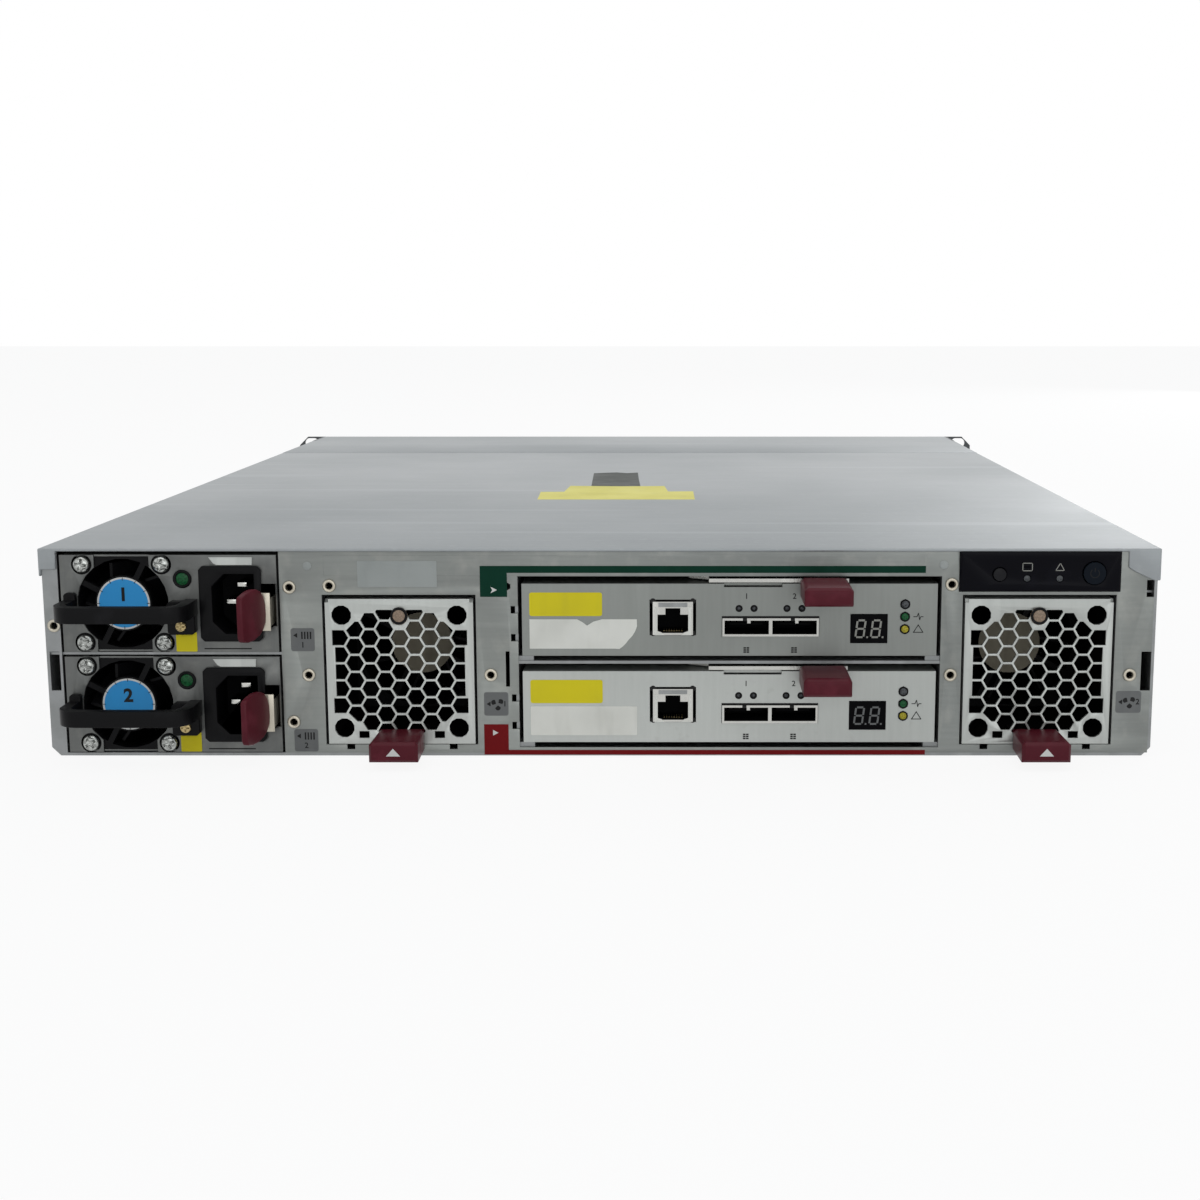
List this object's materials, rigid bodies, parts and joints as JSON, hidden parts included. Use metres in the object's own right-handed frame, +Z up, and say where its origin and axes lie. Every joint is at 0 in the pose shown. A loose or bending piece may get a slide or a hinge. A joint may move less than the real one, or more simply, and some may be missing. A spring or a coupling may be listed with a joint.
{
  "type": "disk shelf enclosure",
  "caption": "Two-unit rack enclosure for small disk drives, with hot-swap power supplies, fan modules and I/O modules at the rear.",
  "frame": {"origin": "centre of the underside of the chassis pan, half-way along its depth and width", "axes": "+X to the right seen from the rear, +Y from the rear face to the drive bays, +Z up"},
  "size_m": [0.4826, 0.621, 0.085],
  "materials": {
    "zinc_steel": "zinc-plated sheet, satin, faint mottling",
    "cover_steel": "pre-plated sheet, satin",
    "panel_steel": "stamped nickel-grey sheet, fine grain",
    "module_steel": "brushed horizontally",
    "painted_grey": "fine powder coat",
    "board_green": "solder mask",
    "black_plastic": "moulded, light texture",
    "black_gloss": "smooth moulded",
    "maroon_plastic": "smooth moulded touch colour",
    "screw_steel": "zinc-plated screw",
    "port_steel": "bright plated sheet",
    "lens_clear": "moulded light guide",
    "lens_tinted": "moulded lenses and window",
    "blank_grey": "moulded, light texture",
    "disk_aluminium": "cast and machined"
  },
  "bodies": {
    "root": {"chassis_pan": "zinc_steel", "rear_panel": "panel_steel", "threaded_inserts": "screw_steel", "top_cover": "cover_steel", "rack_ears": "painted_grey", "bay_walls": "zinc_steel", "rear_backplane": "board_green", "rear_connectors": "black_plastic", "bridge_board": "board_green", "drive_backplane": "board_green", "drive_connectors": "black_plastic", "drive_cage": "cover_steel", "drive_blanks": "blank_grey", "control_bezel": "black_gloss"},
    "uid_button": {"uid_button": "black_gloss"},
    "power_button": {"power_button": "black_gloss"},
    "thumbscrew_left": {"thumbscrew_left": "screw_steel"},
    "thumbscrew_right": {"thumbscrew_right": "screw_steel"},
    "drive": {"drive_carrier": "black_plastic", "disk_drive": "disk_aluminium"},
    "drive_lever": {"drive_lever": "blank_grey"},
    "drive_button": {"drive_button": "maroon_plastic"},
    "psu_1": {"psu_1_case": "module_steel", "psu_1_fan_frame": "black_plastic", "psu_1_inlet": "black_plastic", "psu_1_handle": "black_plastic", "psu_1_screws": "screw_steel"},
    "psu_1_fan": {"psu_1_fan_rotor": "black_plastic"},
    "psu_1_latch": {"psu_1_latch": "maroon_plastic"},
    "psu_2": {"psu_2_case": "module_steel", "psu_2_fan_frame": "black_plastic", "psu_2_inlet": "black_plastic", "psu_2_handle": "black_plastic", "psu_2_screws": "screw_steel"},
    "psu_2_fan": {"psu_2_fan_rotor": "black_plastic"},
    "psu_2_latch": {"psu_2_latch": "maroon_plastic"},
    "fan_1": {"fan_1_housing": "module_steel", "fan_1_frame": "black_plastic", "fan_1_light_guide": "lens_clear"},
    "fan_1_rotor": {"fan_1_rotor": "black_plastic"},
    "fan_1_latch": {"fan_1_latch": "maroon_plastic"},
    "fan_2": {"fan_2_housing": "module_steel", "fan_2_frame": "black_plastic", "fan_2_light_guide": "lens_clear"},
    "fan_2_rotor": {"fan_2_rotor": "black_plastic"},
    "fan_2_latch": {"fan_2_latch": "maroon_plastic"},
    "io_a": {"io_a_case": "module_steel", "io_a_board": "board_green", "io_a_sas_cage": "port_steel", "io_a_network_jack": "port_steel", "io_a_indicators": "lens_tinted"},
    "io_a_lever": {"io_a_lever": "port_steel", "io_a_grip": "maroon_plastic"},
    "io_b": {"io_b_case": "module_steel", "io_b_board": "board_green", "io_b_sas_cage": "port_steel", "io_b_network_jack": "port_steel", "io_b_indicators": "lens_tinted"},
    "io_b_lever": {"io_b_lever": "port_steel", "io_b_grip": "maroon_plastic"}
  },
  "joints": [
    {"name": "psu_1_slide", "type": "slide", "parent": "root", "child": "psu_1", "axis": [0, -1, 0], "range_m": [0, 0.2]},
    {"name": "psu_1_fan_spin", "type": "hinge", "parent": "psu_1", "child": "psu_1_fan", "pos_m": [-0.1911, -0.2752, 0.0626], "axis": [0, 1, 0], "continuous": true},
    {"name": "psu_1_latch_press", "type": "hinge", "parent": "psu_1", "child": "psu_1_latch", "pos_m": [-0.132, -0.266, 0.0594], "axis": [0, 0, -1], "range_deg": [0, 6], "stiffness_Nm_per_rad": 0.6},
    {"name": "psu_2_slide", "type": "slide", "parent": "root", "child": "psu_2", "axis": [0, -1, 0], "range_m": [0, 0.2]},
    {"name": "psu_2_fan_spin", "type": "hinge", "parent": "psu_2", "child": "psu_2_fan", "pos_m": [-0.1911, -0.2752, 0.0212], "axis": [0, 1, 0], "continuous": true},
    {"name": "psu_2_latch_press", "type": "hinge", "parent": "psu_2", "child": "psu_2_latch", "pos_m": [-0.132, -0.266, 0.018], "axis": [0, 0, -1], "range_deg": [0, 6], "stiffness_Nm_per_rad": 0.6},
    {"name": "fan_1_slide", "type": "slide", "parent": "root", "child": "fan_1", "axis": [0, -1, 0], "range_m": [0, 0.11]},
    {"name": "fan_1_spin", "type": "hinge", "parent": "fan_1", "child": "fan_1_rotor", "pos_m": [-0.0807, -0.209, 0.0347], "axis": [0, 1, 0], "continuous": true},
    {"name": "fan_1_latch_press", "type": "hinge", "parent": "fan_1", "child": "fan_1_latch", "pos_m": [-0.0807, -0.285, 0.008], "axis": [-1, 0, 0], "range_deg": [0, 8], "stiffness_Nm_per_rad": 0.4},
    {"name": "fan_2_slide", "type": "slide", "parent": "root", "child": "fan_2", "axis": [0, -1, 0], "range_m": [0, 0.11]},
    {"name": "fan_2_spin", "type": "hinge", "parent": "fan_2", "child": "fan_2_rotor", "pos_m": [0.17608, -0.209, 0.0347], "axis": [0, 1, 0], "continuous": true},
    {"name": "fan_2_latch_press", "type": "hinge", "parent": "fan_2", "child": "fan_2_latch", "pos_m": [0.17608, -0.285, 0.008], "axis": [-1, 0, 0], "range_deg": [0, 8], "stiffness_Nm_per_rad": 0.4},
    {"name": "io_a_slide", "type": "slide", "parent": "root", "child": "io_a", "axis": [0, -1, 0], "range_m": [0, 0.2]},
    {"name": "io_a_lever_swing", "type": "hinge", "parent": "io_a", "child": "io_a_lever", "pos_m": [0.04861, -0.281, 0.0707], "axis": [0, 0, -1], "range_deg": [0, 60]},
    {"name": "io_b_slide", "type": "slide", "parent": "root", "child": "io_b", "axis": [0, -1, 0], "range_m": [0, 0.2]},
    {"name": "io_b_lever_swing", "type": "hinge", "parent": "io_b", "child": "io_b_lever", "pos_m": [0.04861, -0.281, 0.03495], "axis": [0, 0, -1], "range_deg": [0, 60]},
    {"name": "uid_press", "type": "slide", "parent": "root", "child": "uid_button", "axis": [0, 1, 0], "range_m": [0, 0.0012], "stiffness_N_per_m": 400},
    {"name": "power_press", "type": "slide", "parent": "root", "child": "power_button", "axis": [0, 1, 0], "range_m": [0, 0.0012], "stiffness_N_per_m": 400},
    {"name": "thumbscrew_left_turn", "type": "hinge", "parent": "root", "child": "thumbscrew_left", "pos_m": [-0.23255, 0.29, 0.0425], "axis": [0, 1, 0], "continuous": true},
    {"name": "thumbscrew_right_turn", "type": "hinge", "parent": "root", "child": "thumbscrew_right", "pos_m": [0.23255, 0.29, 0.0425], "axis": [0, 1, 0], "continuous": true},
    {"name": "drive_slide", "type": "slide", "parent": "root", "child": "drive", "axis": [0, 1, 0], "range_m": [0, 0.14]},
    {"name": "drive_lever_open", "type": "hinge", "parent": "drive", "child": "drive_lever", "pos_m": [0.2076, 0.2955, 0.0107], "axis": [-1, 0, 0], "range_deg": [0, 50]},
    {"name": "drive_button_press", "type": "slide", "parent": "drive", "child": "drive_button", "axis": [0, -1, 0], "range_m": [0, 0.002], "stiffness_N_per_m": 400}
  ]
}
